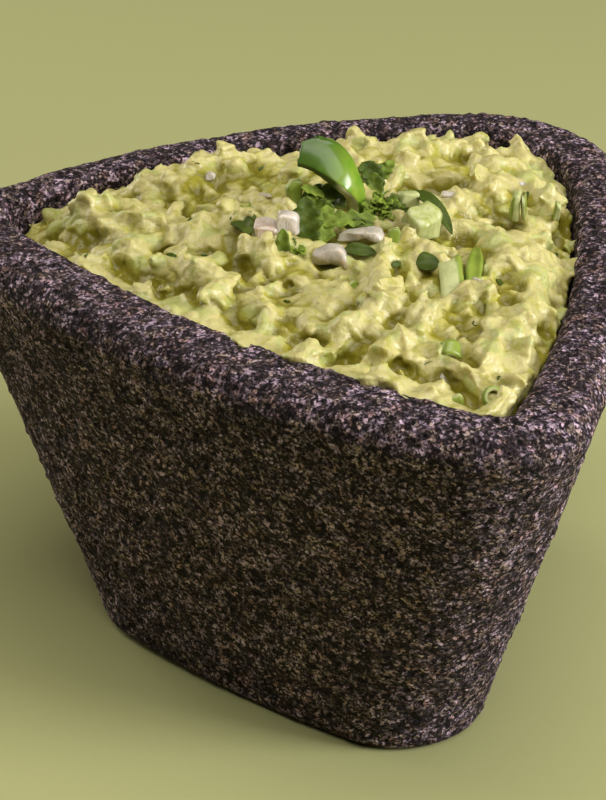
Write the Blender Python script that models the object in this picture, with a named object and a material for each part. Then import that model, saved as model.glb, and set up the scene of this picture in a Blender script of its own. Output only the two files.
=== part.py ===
"""Guacamole heaped in a rounded-triangular bowl of volcanic stone.

A curl of green chili, onion dice and a dice of avocado lie on top. The bowl's front is the broad
side at -Y, its blunt back corner points to +Y, and it stands on its flat base at Z = 0.
"""
import math

import bmesh
import bpy
from mathutils import Matrix, Vector, noise

MM = 0.001
GAP = 0.3 * MM                # clearance between pieces that touch

# The plan is a triangle with bowed sides and round corners. Its three sides face these ways,
# and each tuple below lists the front, right and left side, or the corner that follows each
# side anticlockwise: front right, back and front left.
SIDE_ANGLES = (math.radians(270), math.radians(30), math.radians(150))
PLAN_POINTS = 80

RIM_HEIGHT = 104.6 * MM
RIM_PLAN = {
    "distances": (67.1 * MM, 69.4 * MM, 69.4 * MM),
    "bows": (235 * MM, 477 * MM, 221 * MM),
    "corners": (23.4 * MM, 37 * MM, 23.6 * MM),
}
RIM_OUTER_ROUNDING = 6.9 * MM
RIM_INNER_ROUNDING = 3.5 * MM
OPENING_PLAN = {
    "distances": (50.4 * MM, 57.4 * MM, 57.1 * MM),
    "bows": (269 * MM, 269 * MM, 269 * MM),
    "corners": (4.5 * MM, 29.4 * MM, 12.3 * MM),
}
BASE_PLAN = {
    "distances": (44.3 * MM, 44.3 * MM, 44.3 * MM),
    "bows": (263 * MM, 263 * MM, 263 * MM),
    "corners": (22.7 * MM, 17.5 * MM, 26.9 * MM),
}
BASE_SHIFT = Vector((2 * MM, 0.8 * MM))
BASE_ROUNDING = 3.9 * MM

CAVITY_FLOOR = 22 * MM        # stone under the middle of the cavity
CAVITY_FULLNESS = 2.1         # exponent of the cavity's profile, where 2 is an ellipse
CAVITY_SHARES = (0.1, 0.18, 0.28, 0.42, 0.56, 0.7, 0.82, 0.91, 0.97)   # of its depth
FLOOR_PLAN = {
    "distances": (50 * MM, 52 * MM, 52 * MM),
    "bows": (150 * MM, 150 * MM, 150 * MM),
    "corners": (36 * MM, 40 * MM, 36 * MM),
}

# The guacamole's surface, measured from the rim's height.
HEAP_TOP = 4 * MM
HEAP_RADIUS = 80 * MM         # where the heap's dome would meet the rim's level
HEAP_MIDDLE = Vector((-4 * MM, -8 * MM))
SHORE_WIDTH = 0.14            # share of the way in over which the surface rises to the heap
SHORE_SHARE = 0.05            # share of the cavity's depth, just below where the surface meets it
SHORE_LEVELS = (-6.8 * MM, -4.6 * MM, -4.2 * MM)   # along the front, right and left walls
SHORE_BENCHES = (0.12, 0.01, 0)    # share of the way in that stays at those levels
LUMP_SIZES = (15 * MM, 8 * MM)
LUMP_HEIGHTS = (6.4 * MM, 4.2 * MM)
SPOON_HOLLOWS = (             # middle, radius and depth of the smooth hollows
    (Vector((16 * MM, 23 * MM)), 8 * MM, 3.2 * MM),
    (Vector((-36 * MM, -30 * MM)), 9 * MM, 2 * MM),
    (Vector((38 * MM, -28 * MM)), 8 * MM, 2.2 * MM),
)
HEAP_RINGS = 19
HEAP_ROUND = 62 * MM          # radius that the surface's rings near as they go inwards

# The chili curl is a strip of hollow chili wall, bent round a leaning axis.
CURL_RADIUS = 10.2 * MM
CURL_HEIGHT = 16.8 * MM       # of the arch's crown over its foot
CURL_WALL = 1.7 * MM
CURL_START = math.radians(-6)
CURL_SWEEP = math.radians(142)
CURL_HALF_WIDTHS = (2 * MM, 6.8 * MM, 3.4 * MM)   # at the foot, the shoulder and the free end
CURL_DROOP = 2.6 * MM         # how far its long edges bend inwards
CURL_LEAN = math.radians(6)
CURL_TURN = math.radians(5)
CURL_FOOT = Vector((-2.4 * MM, -1.9 * MM))
CURL_SINK = 1.2 * MM

# Name, place and size in millimetres, turn and tilt in degrees, and material of each dice.
DICE = (
    ("onion_dice_1", (-12.9, -27.4), (4.3, 4.8, 4.6), 39, 6, "onion"),
    ("onion_dice_2", (-9.3, -24.5), (4.1, 4.6, 4.8), 39, -6, "onion"),
    ("onion_dice_3", (3.4, -24.8), (6.2, 5.0, 4.4), 35, 6, "onion"),
    ("onion_dice_4", (5.2, -13.6), (7.4, 5.2, 3.2), 60, 12, "onion"),
    ("avocado_dice", (13.4, 0.6), (8.4, 6.4, 6.0), 75, 14, "avocado"),
)
DICE_SINK = 1.3 * MM
DICE_ROUNDING = 1.1 * MM

COLLECTION = "guacamole_in_stone_bowl"


def plan_outline(plan):
    """Return the plan's points and outward normals, one for each step of the normal's angle."""
    normals = [Vector((math.cos(angle), math.sin(angle))) for angle in SIDE_ANGLES]
    centres = [-normal * (bow - distance)
               for normal, bow, distance in zip(normals, plan["bows"], plan["distances"])]
    corners = [corner_arc(plan, normals, centres, side) for side in range(3)]
    points = []
    for step in range(PLAN_POINTS):
        angle = 2 * math.pi * step / PLAN_POINTS
        normal = Vector((math.cos(angle), math.sin(angle)))
        points.append((point_at(plan, centres, corners, angle, normal), normal))
    return points


def corner_arc(plan, normals, centres, side):
    """Return the centre of the corner after a side, with the normal's angles at its two ends."""
    after = (side + 1) % 3
    radius = plan["corners"][side]
    reach, reach_after = plan["bows"][side] - radius, plan["bows"][after] - radius
    apart = centres[after] - centres[side]
    along = (apart.length_squared + reach ** 2 - reach_after ** 2) / (2 * apart.length)
    across = math.sqrt(reach ** 2 - along ** 2)
    direction = apart.normalized()
    foot = centres[side] + direction * along
    outwards = normals[side] + normals[after]
    centre = max((foot + direction.orthogonal() * across, foot - direction.orthogonal() * across),
                 key=outwards.dot)
    start, end = centre - centres[side], centre - centres[after]
    return centre, math.atan2(start.y, start.x), math.atan2(end.y, end.x)


def point_at(plan, centres, corners, angle, normal):
    """Return the plan's point whose outward normal has the given angle."""
    for side, (centre, start, end) in enumerate(corners):
        if (angle - start) % (2 * math.pi) <= (end - start) % (2 * math.pi):
            return centre + normal * plan["corners"][side]
    nearest = max(range(3), key=lambda side: math.cos(angle - SIDE_ANGLES[side]))
    return centres[nearest] + normal * plan["bows"][nearest]


def footprint_middle():
    """Return the middle of the rim's bounding box, which becomes the part's origin."""
    points = [point for point, normal in plan_outline(RIM_PLAN)]
    return Vector(((min(p.x for p in points) + max(p.x for p in points)) / 2,
                   (min(p.y for p in points) + max(p.y for p in points)) / 2))


MIDDLE = footprint_middle()


def ring(plan, height, outwards=0.0, shift=Vector((0, 0))):
    """Return a closed ring of the plan at a height, offset outwards and placed on the part."""
    return [(point + normal * outwards + shift - MIDDLE).to_3d() + Vector((0, 0, height))
            for point, normal in plan_outline(plan)]


def blend(ring_a, ring_b, share):
    """Return the ring that lies the given share of the way between two rings."""
    return [a.lerp(b, share) for a, b in zip(ring_a, ring_b)]


def smooth_step(value):
    """Return 0 to 1 with level ends as the value goes from 0 to 1."""
    value = min(max(value, 0.0), 1.0)
    return value * value * (3 - 2 * value)


def loft(name, rings, start_tip=None, end_tip=None):
    """Skin a stack of rings, closing each end with a fan to a tip or with one flat face."""
    bm = bmesh.new()
    rows = [[bm.verts.new(point) for point in points] for points in rings]
    count = len(rows[0])
    for lower, upper in zip(rows, rows[1:]):
        for index in range(count):
            after = (index + 1) % count
            bm.faces.new((lower[index], lower[after], upper[after], upper[index]))
    for row, tip in ((rows[0][::-1], start_tip), (rows[-1], end_tip)):
        if tip is None:
            bm.faces.new(row)
            continue
        top = bm.verts.new(tip)
        for index in range(count):
            bm.faces.new((row[index], row[(index + 1) % count], top))
    bmesh.ops.recalc_face_normals(bm, faces=bm.faces)
    return finish_mesh(name, bm)


def finish_mesh(name, bm):
    """Turn a bmesh into an object with smooth shading between its sharp edges."""
    mesh = bpy.data.meshes.new(name)
    bm.to_mesh(mesh)
    bm.free()
    mesh.shade_smooth()
    mesh.set_sharp_from_angle(angle=math.radians(35))
    return bpy.data.objects.new(name, mesh)


def outer_rings():
    """Return the rings from the flat base, up the wall and over the rim's outer rounding."""
    rings = []
    for step in range(4):
        turn = math.radians(30 * step)
        rings.append(ring(BASE_PLAN, BASE_ROUNDING * (1 - math.cos(turn)),
                          -BASE_ROUNDING * (1 - math.sin(turn)), BASE_SHIFT))
    foot = rings[-1]
    shoulder = ring(RIM_PLAN, RIM_HEIGHT - RIM_OUTER_ROUNDING)
    rings += [blend(foot, shoulder, step / 4) for step in range(1, 4)]
    for step in range(5):
        turn = math.radians(22.5 * step)
        rings.append(ring(RIM_PLAN, RIM_HEIGHT - RIM_OUTER_ROUNDING * (1 - math.sin(turn)),
                          -RIM_OUTER_ROUNDING * (1 - math.cos(turn))))
    return rings


def lip_rings():
    """Return the rings that round the rim's inner edge, from its top down to the cavity wall."""
    rings = []
    for step in range(4, 0, -1):
        turn = math.radians(22.5 * step)
        rings.append(ring(OPENING_PLAN, RIM_HEIGHT - RIM_INNER_ROUNDING * (1 - math.sin(turn)),
                          RIM_INNER_ROUNDING * (0.5 - math.cos(turn))))
    return rings


def cavity_ring(depth_share, inset=0.0):
    """Return the cavity wall's ring at a share of its depth, drawn in by an inset."""
    top = RIM_HEIGHT - RIM_INNER_ROUNDING
    sunk = min(depth_share, 1.0) ** (CAVITY_FULLNESS / 2)
    width = max(1 - sunk * sunk, 0.0) ** (1 / CAVITY_FULLNESS)
    height = top - (top - CAVITY_FLOOR) * depth_share + inset * depth_share
    upper = ring(OPENING_PLAN, height, -RIM_INNER_ROUNDING / 2 - inset)
    lower = ring(FLOOR_PLAN, height, -inset)
    axis = Vector((-MIDDLE.x, -MIDDLE.y, height))
    return [axis.lerp(point, width) for point in blend(upper, lower, depth_share)]


def stone_bowl():
    """Make the thick-walled stone bowl, rounded at the base, the rim and the cavity's floor."""
    cavity = [cavity_ring(share) for share in (0, SHORE_SHARE, *CAVITY_SHARES)]
    floor = Vector((-MIDDLE.x, -MIDDLE.y, CAVITY_FLOOR))
    return loft("stone_bowl", outer_rings() + lip_rings() + cavity, None, floor)


def lumps(place):
    """Return the height of the mashed avocado's soft lumps and folds at a place in plan."""
    height = 0.0
    for size, amount in zip(LUMP_SIZES, LUMP_HEIGHTS):
        distances = noise.voronoi((place / size).to_3d())[0]
        height += amount * (0.55 - min(distances[0], 1.1))
    return height


def heap_height(place):
    """Return the guacamole's height away from the walls, with its dome, lumps and hollows."""
    away = (place - HEAP_MIDDLE).length / HEAP_RADIUS
    height = RIM_HEIGHT + HEAP_TOP * (1 - away * away) + lumps(place)
    for middle, radius, depth in SPOON_HOLLOWS:
        height -= depth * (1 - smooth_step((place - middle).length / radius))
    return height


def along_walls(index, values):
    """Mix the values for the front, right and left walls at one point of the plan."""
    angle = 2 * math.pi * index / PLAN_POINTS
    weights = [max(math.cos(angle - side), 0.0) ** 2 for side in SIDE_ANGLES]
    return sum(weight * value for weight, value in zip(weights, values)) / sum(weights)


def shore_ring():
    """Return the ring along which the guacamole's surface meets the wall."""
    upper, lower = cavity_ring(0, GAP), cavity_ring(SHORE_SHARE, GAP)
    depth = upper[0].z - lower[0].z
    below = [upper[0].z - RIM_HEIGHT - along_walls(index, SHORE_LEVELS)
             for index in range(PLAN_POINTS)]
    return [top.lerp(low, down / depth) for top, low, down in zip(upper, lower, below)]


def heap_rings():
    """Return the rings of the guacamole's surface, from the wall in to the middle."""
    wall = shore_ring()
    rings = []
    for step in range(HEAP_RINGS):
        inwards = step / HEAP_RINGS
        points = []
        for index, edge in enumerate(wall):
            way_out = edge.to_2d() + MIDDLE
            round_edge = way_out.normalized() * HEAP_ROUND
            place = way_out.lerp(round_edge, inwards) * (1 - inwards) - MIDDLE
            bench = along_walls(index, SHORE_BENCHES)
            rise = smooth_step((inwards - bench) / SHORE_WIDTH)
            height = (1 - rise) * edge.z + rise * heap_height(place)
            points.append(Vector((place.x, place.y, height)))
        rings.append(points)
    return rings


def guacamole():
    """Make the guacamole that fills the cavity, heaped and lumpy on top."""
    cavity = [cavity_ring(share, GAP) for share in reversed(CAVITY_SHARES)]
    floor = Vector((-MIDDLE.x, -MIDDLE.y, CAVITY_FLOOR + GAP))
    top = Vector((-MIDDLE.x, -MIDDLE.y, heap_height(-MIDDLE)))
    return loft("guacamole", cavity + heap_rings(), floor, top)


def curl_half_width(share):
    """Return the chili strip's half width at a share of the way from its foot."""
    foot, shoulder, end = CURL_HALF_WIDTHS
    if share < 0.55:
        return foot + (shoulder - foot) * smooth_step(share / 0.55)
    return shoulder + (end - shoulder) * smooth_step((share - 0.55) / 0.45)


def curl_section(share, grow):
    """Return one loop across the chili strip: along its skin, then back along its inner side."""
    angle = CURL_START + CURL_SWEEP * share
    spread = curl_half_width(share) + grow
    spine = Vector((CURL_RADIUS * math.cos(angle), 0, CURL_HEIGHT * math.sin(angle)))
    outwards = Vector((math.cos(angle), 0, math.sin(angle)))
    loop = []
    for side, ways in ((grow, (-1, -0.5, 0, 0.5, 1)), (-CURL_WALL - grow, (1, 0.5, 0, -0.5, -1))):
        for way in ways:
            droop = CURL_DROOP * way * way * curl_half_width(share) / CURL_HALF_WIDTHS[1]
            loop.append(spine + outwards * (side - droop) + Vector((0, spread * way, 0)))
    return loop


def chili_curl(name="chili_curl", grow=0.0):
    """Make the arched strip of chili wall that stands on its narrow foot."""
    steps = 16
    longer = grow / (CURL_RADIUS * CURL_SWEEP)
    sections = [curl_section(-longer + (1 + 2 * longer) * step / steps, grow)
                for step in range(steps + 1)]
    curl = loft(name, sections)
    turned = Matrix.Rotation(CURL_TURN, 4, "Z") @ Matrix.Rotation(CURL_LEAN, 4, "X")
    foot = turned @ Vector((CURL_RADIUS * math.cos(CURL_START), 0,
                            CURL_HEIGHT * math.sin(CURL_START)))
    ground = Vector((CURL_FOOT.x, CURL_FOOT.y, heap_height(CURL_FOOT) - CURL_SINK))
    curl.data.transform(Matrix.Translation(ground - foot) @ turned)
    return curl


def dice(name, place, size, turn, tilt, grow=0.0):
    """Make one small block with softened edges, bedded a little way into the guacamole."""
    bm = bmesh.new()
    bmesh.ops.create_cube(bm, size=1)
    bmesh.ops.scale(bm, verts=bm.verts, vec=Vector(size) * MM + Vector((grow, grow, grow)) * 2)
    bmesh.ops.bevel(bm, geom=bm.edges[:], affect="EDGES", offset=DICE_ROUNDING + grow,
                    segments=2, profile=0.5, material=-1)
    middle = Vector(place) * MM
    height = heap_height(middle) + size[2] * MM / 2 - DICE_SINK
    turned = Matrix.Rotation(math.radians(turn), 4, "Z") @ Matrix.Rotation(math.radians(tilt), 4, "X")
    bmesh.ops.transform(bm, matrix=Matrix.Translation((middle.x, middle.y, height)) @ turned,
                        verts=bm.verts)
    return finish_mesh(name, bm)


def material(name, colour, roughness, specular=0.5):
    """Make a Principled material of one colour."""
    made = bpy.data.materials.new(name)
    made.use_nodes = True
    shader = made.node_tree.nodes["Principled BSDF"]
    shader.inputs["Base Color"].default_value = (*colour, 1)
    shader.inputs["Roughness"].default_value = roughness
    shader.inputs["Metallic"].default_value = 0
    shader.inputs["Specular IOR Level"].default_value = specular
    return made


def collection(name):
    """Make a collection in the scene."""
    made = bpy.data.collections.new(name)
    bpy.context.scene.collection.children.link(made)
    return made


def place_piece(piece, made, look):
    """Give a piece its material and put it in its collection."""
    piece.data.materials.append(look)
    made.objects.link(piece)


def cut_round(target, cutter, cutters):
    """Cut one piece's bed out of the guacamole."""
    cutter.hide_render = True
    cutter.display_type = "WIRE"
    cutters.objects.link(cutter)
    cut = target.modifiers.new(cutter.name, "BOOLEAN")
    cut.operation = "DIFFERENCE"
    cut.solver = "EXACT"
    cut.object = cutter


def build():
    """Build the bowl, the guacamole and its garnish."""
    for old in list(bpy.data.objects):
        bpy.data.objects.remove(old, do_unlink=True)
    looks = {
        "stone": material("volcanic_stone", (0.035, 0.027, 0.028), 0.9, 0.3),
        "guacamole": material("guacamole", (0.47, 0.44, 0.12), 0.35),
        "chili": material("green_chili", (0.12, 0.33, 0.02), 0.2),
        "onion": material("white_onion", (0.62, 0.56, 0.45), 0.3),
        "avocado": material("avocado", (0.5, 0.52, 0.17), 0.35),
    }
    pieces, cutters = collection(COLLECTION), collection("cutters")
    place_piece(stone_bowl(), pieces, looks["stone"])
    heap = guacamole()
    place_piece(heap, pieces, looks["guacamole"])
    place_piece(chili_curl(), pieces, looks["chili"])
    cut_round(heap, chili_curl("chili_curl_bed", GAP), cutters)
    for name, place, size, turn, tilt, look in DICE:
        place_piece(dice(name, place, size, turn, tilt), pieces, looks[look])
        cut_round(heap, dice(name + "_bed", place, size, turn, tilt, GAP), cutters)


build()
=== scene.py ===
"""Looks for guacamole heaped in a bowl of volcanic stone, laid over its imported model."""
import math
import random

import bmesh
import bpy
import numpy as np
from bpy.props import FloatProperty, FloatVectorProperty, IntProperty, PointerProperty
from mathutils import Euler, Matrix, Vector, noise
from mathutils.bvhtree import BVHTree


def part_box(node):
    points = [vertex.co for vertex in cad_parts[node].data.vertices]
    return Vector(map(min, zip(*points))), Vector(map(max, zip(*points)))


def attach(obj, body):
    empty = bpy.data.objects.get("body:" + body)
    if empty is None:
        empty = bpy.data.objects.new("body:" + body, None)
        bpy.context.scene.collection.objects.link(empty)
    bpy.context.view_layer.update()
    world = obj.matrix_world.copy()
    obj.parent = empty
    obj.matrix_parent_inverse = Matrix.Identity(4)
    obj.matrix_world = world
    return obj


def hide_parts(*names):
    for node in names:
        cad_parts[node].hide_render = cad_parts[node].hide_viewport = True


bl_info = {
    "name": "Guacamole in a stone bowl",
    "version": (1, 0, 0),
    "blender": (4, 5, 0),
    "location": "3D View > Sidebar > Guacamole",
    "description": "Dresses a packed bowl of guacamole with stone, food and garnish",
    "category": "Object",
}

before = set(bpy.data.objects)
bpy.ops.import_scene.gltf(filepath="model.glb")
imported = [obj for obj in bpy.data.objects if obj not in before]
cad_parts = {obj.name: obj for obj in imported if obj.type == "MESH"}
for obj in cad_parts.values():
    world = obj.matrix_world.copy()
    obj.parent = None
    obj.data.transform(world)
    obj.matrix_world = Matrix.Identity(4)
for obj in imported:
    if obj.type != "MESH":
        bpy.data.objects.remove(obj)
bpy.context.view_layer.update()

MM = 0.001
TAU = 2 * math.pi
RIM_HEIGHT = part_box("stone_bowl")[1].z
SIDE_ANGLES = np.radians((270.0, 30.0, 150.0))   # the front, right and left side's normals
MERGED = 0.0001 * MM     # points closer than this are one


# Settings ---------------------------------------------------------------------------------------

def length(name, description, millimetres):
    """Return a length property given in millimetres."""
    return FloatProperty(name=name, description=description, default=millimetres * MM,
                         min=0, unit="LENGTH")


def lengths(name, description, millimetres):
    """Return a property of three lengths, for the front, right and left side or its corner."""
    return FloatVectorProperty(name=name, description=description, size=3, unit="LENGTH",
                               default=[value * MM for value in millimetres])


def colour(name, description, value):
    """Return a colour property in linear light."""
    return FloatVectorProperty(name=name, description=description, default=value,
                               subtype="COLOR", size=3, min=0, max=1)


class BowlSettings(bpy.types.PropertyGroup):
    """Sizes and colours of the stone bowl."""

    rim_distances: lengths("Rim", "From the middle to each side of the rim", (67.1, 69.4, 69.4))
    rim_bows: lengths("Rim bows", "Radius of each bowed side of the rim", (235, 477, 221))
    rim_corners: lengths("Rim corners", "Radius of each corner of the rim", (23.4, 37, 23.6))
    opening_distances: lengths("Opening", "From the middle to each inner wall", (50.4, 57.4, 57.1))
    opening_bows: lengths("Opening bows", "Radius of each bowed inner wall", (269, 269, 269))
    opening_corners: lengths("Opening corners", "Radius of each inner corner", (4.5, 29.4, 12.3))
    base_distances: lengths("Base", "From the middle to each side of the base", (44.3, 44.3, 44.3))
    base_bows: lengths("Base bows", "Radius of each bowed side of the base", (263, 263, 263))
    base_corners: lengths("Base corners", "Radius of each corner of the base", (22.7, 17.5, 26.9))
    base_rounding: length("Base rounding", "Radius of the edge at the base", 3.9)
    outer_rounding: length("Outer rounding", "Radius of the rim's outer edge", 6.9)
    inner_rounding: length("Inner rounding", "Radius of the rim's inner edge", 3.5)
    grain_spacing: length("Mesh spacing", "Distance between the stone's mesh points", 0.66)
    waviness: length("Waviness", "Height of the hand-cut waves in the stone", 0.9)
    grain: length("Grain", "Height of the stone's grains and depth of its pits", 0.55)
    # The dark colour is also used as painted shade in the stone's pits.
    dark: colour("Dark", "Colour of the stone's ground mass and pits", (0.007, 0.0045, 0.0055))
    pale: colour("Pale", "Colour of the stone's pale grains", (0.68, 0.50, 0.62))
    warm: colour("Warm", "Colour of the stone's warmer grains", (0.52, 0.38, 0.33))
    rust: colour("Rust", "Colour of the stone's rusty grains", (0.46, 0.22, 0.17))


class HeapSettings(bpy.types.PropertyGroup):
    """Sizes and colours of the guacamole."""

    seed: IntProperty(name="Seed", description="Arrangement of the lumps", default=7, min=0)
    lumps: IntProperty(name="Lumps", description="Number of avocado lumps", default=250, min=1)
    lump_size: length("Lump size", "Mean radius of an avocado lump", 3.0)
    voxel: length("Voxel", "Distance between the surface's mesh points", 0.62)
    onion_bits: IntProperty(name="Onion bits", description="Number of small onion bits in it",
                            default=10, min=0)
    herb_flecks: IntProperty(name="Herb flecks", description="Number of small herb flecks on it",
                             default=24, min=0)
    # The ridge colour is partly the paste's cream patches and partly a painted highlight on its tops.
    ridge: colour("Ridge", "Colour of the paste on its ridges", (0.57, 0.515, 0.21))
    body: colour("Body", "Colour of the paste", (0.42, 0.385, 0.055))
    # This colour is painted shade in the paste's hollows and creases, and it also tints the paste's
    # darker streaks.
    valley_shade: colour("Valley", "Colour of the paste in its hollows", (0.23, 0.20, 0.012))
    green: colour("Green", "Colour of the greener lumps", (0.43, 0.47, 0.15))
    ochre: colour("Ochre", "Colour of the browner patches", (0.36, 0.315, 0.02))
    olive: colour("Olive", "Colour of the olive patches", (0.36, 0.35, 0.03))
    herb: colour("Herb", "Colour of the fine flecks of herb", (0.12, 0.22, 0.03))


class GarnishSettings(bpy.types.PropertyGroup):
    """Sizes and colours of the garnish."""

    chili: colour("Chili", "Colour of the curl's skin", (0.13, 0.28, 0.012))
    chili_light: colour("Chili light", "Colour of the skin's blotches", (0.27, 0.38, 0.03))
    chili_dark: colour("Chili dark", "Colour of the skin at the tip", (0.065, 0.13, 0.012))
    flesh: colour("Flesh", "Colour of the curl's cut flesh", (0.68, 0.66, 0.34))
    soft: colour("Soft", "Colour of the chopped bits' skin", (0.20, 0.27, 0.03))
    soft_light: colour("Soft light", "Colour of that skin's blotches", (0.27, 0.34, 0.05))
    soft_dark: colour("Soft dark", "Colour of that skin at the tips", (0.22, 0.25, 0.025))
    soft_flesh: colour("Soft flesh", "Colour of the chopped bits' flesh", (0.42, 0.47, 0.19))
    pith: colour("Pith", "Colour of the streaks in chili flesh", (0.58, 0.58, 0.27))
    moss: colour("Moss", "Colour of the green spots in chili flesh", (0.20, 0.27, 0.04))
    # This colour is painted shade on the curl's inner side.
    inner: colour("Inner", "Colour of the curl's shaded inner side", (0.07, 0.10, 0.012))
    leaf: colour("Leaf", "Colour of the cilantro leaves", (0.058, 0.088, 0.008))
    leaf_light: colour("Leaf light", "Colour of the paler leaves", (0.22, 0.30, 0.035))
    leaf_vein: colour("Leaf vein", "Colour of the leaves' veins", (0.24, 0.30, 0.08))
    onion: colour("Onion", "Colour of the onion", (0.62, 0.55, 0.46))
    onion_milky: colour("Onion milky", "Colour of its cloudy parts", (0.50, 0.45, 0.36))
    onion_blush: colour("Onion blush", "The same on the pinker dice", (0.54, 0.41, 0.32))
    onion_vein: colour("Onion vein", "Colour of the onion's veins", (0.72, 0.68, 0.6))
    avocado: colour("Avocado", "Colour of the avocado dice", (0.56, 0.58, 0.28))
    avocado_green: colour("Avocado green", "Colour of its greener streaks", (0.40, 0.45, 0.13))


class StageSettings(bpy.types.PropertyGroup):
    """Camera, floor and light."""

    distance: length("Distance", "From the camera to the point it looks at", 840)
    azimuth: FloatProperty(name="Azimuth", description="Turn of the camera from the front",
                           default=math.radians(36.91), subtype="ANGLE")
    elevation: FloatProperty(name="Elevation", description="Height of the camera as an angle",
                             default=math.radians(30.26), subtype="ANGLE")
    roll: FloatProperty(name="Roll", description="Tilt of the camera about its view",
                        default=math.radians(1.97), subtype="ANGLE")
    aim: FloatVectorProperty(name="Aim", description="Point that the camera looks at", size=3,
                             default=(-7.6 * MM, -17.9 * MM, 62.6 * MM), unit="LENGTH")
    lens: FloatProperty(name="Lens", description="Focal length in millimetres", default=156.35)
    floor: colour("Floor", "Colour of the floor", (0.39, 0.395, 0.165))
    room: colour("Room", "Colour of the light from all round", (1, 0.97, 0.9))


# Shader nodes -----------------------------------------------------------------------------------

class Value:
    """A shader socket on which Python's operators add Math nodes."""

    def __init__(self, look, socket):
        self.look = look
        self.socket = socket

    def maths(self, operation, *values):
        """Add one Math node."""
        made = self.look.node("ShaderNodeMath", {"operation": operation}, dict(enumerate(values)))
        return Value(self.look, made.outputs[0])

    def __add__(self, other):
        return self.maths("ADD", self, other)

    def __sub__(self, other):
        return self.maths("SUBTRACT", self, other)

    def __rsub__(self, other):
        return self.maths("SUBTRACT", other, self)

    def __mul__(self, other):
        return self.maths("MULTIPLY", self, other)

    __radd__ = __add__
    __rmul__ = __mul__

    def step(self, low, high):
        """Return 0 below low, 1 above high and a smooth rise between them."""
        made = self.look.node("ShaderNodeMapRange", {"interpolation_type": "SMOOTHSTEP"},
                              {"Value": self, "From Min": low, "From Max": high})
        return Value(self.look, made.outputs[0])


class Look:
    """One procedural material, built node by node."""

    def __init__(self, name, **constants):
        self.material = bpy.data.materials.new(name)
        self.material.use_nodes = True
        self.tree = self.material.node_tree
        self.shader = self.tree.nodes["Principled BSDF"]
        for socket, value in constants.items():
            self.feed(self.shader.inputs[socket.replace("_", " ").title().replace("Ior", "IOR")], value)

    def feed(self, socket, value):
        """Set a socket to a constant, or link a value or a node's output to it."""
        if isinstance(value, Value):
            value = value.socket
        if isinstance(value, bpy.types.NodeSocket):
            self.tree.links.new(value, socket)
        elif hasattr(value, "__len__") and len(value) == 3 and len(socket.default_value) == 4:
            socket.default_value = (*value, 1)
        else:
            socket.default_value = value

    def node(self, kind, settings=None, inputs=None):
        """Add a node with its settings first and then its inputs."""
        made = self.tree.nodes.new(kind)
        for key, value in (settings or {}).items():
            setattr(made, key, value)
        for key, value in (inputs or {}).items():
            self.feed(made.inputs[key], value)
        return made

    def place(self):
        """Return the object coordinates."""
        return self.node("ShaderNodeTexCoord").outputs["Object"]

    def noise(self, size, detail=2.0, stretch=(1, 1, 1)):
        """Return noise whose features have about the given size."""
        mapped = self.node("ShaderNodeMapping", None,
                           {"Vector": self.place(), "Scale": tuple(s / size for s in stretch)})
        made = self.node("ShaderNodeTexNoise", None,
                         {"Vector": mapped.outputs[0], "Scale": 1.0, "Detail": detail})
        return Value(self, made.outputs[0])

    def shaken(self, size, amount):
        """Return the object coordinates shaken by noise, so that cells lose their straight edges."""
        wobble = self.node("ShaderNodeTexNoise", None, {"Vector": self.place(), "Scale": 0.5 / size})
        return self.node("ShaderNodeVectorMath", {"operation": "MULTIPLY_ADD"},
                         {0: wobble.outputs["Color"], 1: (amount,) * 3, 2: self.place()}).outputs[0]

    def cells(self, size, output="Distance", shake=0.0):
        """Return the distance or random colour of cells of about the given size."""
        place = self.shaken(size * 0.5, size * shake) if shake else self.place()
        made = self.node("ShaderNodeTexVoronoi", None, {"Vector": place, "Scale": 1 / size})
        return Value(self, made.outputs[output])

    def attribute(self, name):
        """Return one of the mesh's own values."""
        made = self.node("ShaderNodeAttribute", {"attribute_name": name})
        return Value(self, made.outputs["Fac"])

    def mix(self, share, first, second):
        """Return a colour between two others."""
        made = self.node("ShaderNodeMix", {"data_type": "RGBA"},
                         {"Factor": share, "A": first, "B": second})
        return made.outputs["Result"]

    def bump(self, height, distance, strength=1.0):
        """Feed the shader's normal from a height."""
        made = self.node("ShaderNodeBump", None,
                         {"Height": height, "Distance": distance, "Strength": strength})
        self.feed(self.shader.inputs["Normal"], made.outputs[0])

    def surface(self, base_colour, roughness):
        """Feed the base colour and the roughness."""
        self.feed(self.shader.inputs["Base Color"], base_colour)
        self.feed(self.shader.inputs["Roughness"], roughness)
        return self.material


# Shapes -----------------------------------------------------------------------------------------

def unit(angles):
    """Return unit vectors in plan at these angles."""
    return np.stack((np.cos(angles), np.sin(angles)), axis=-1)


def turns(count):
    """Return this many angles spread evenly over one turn."""
    return np.linspace(0, TAU, count, endpoint=False)


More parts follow.
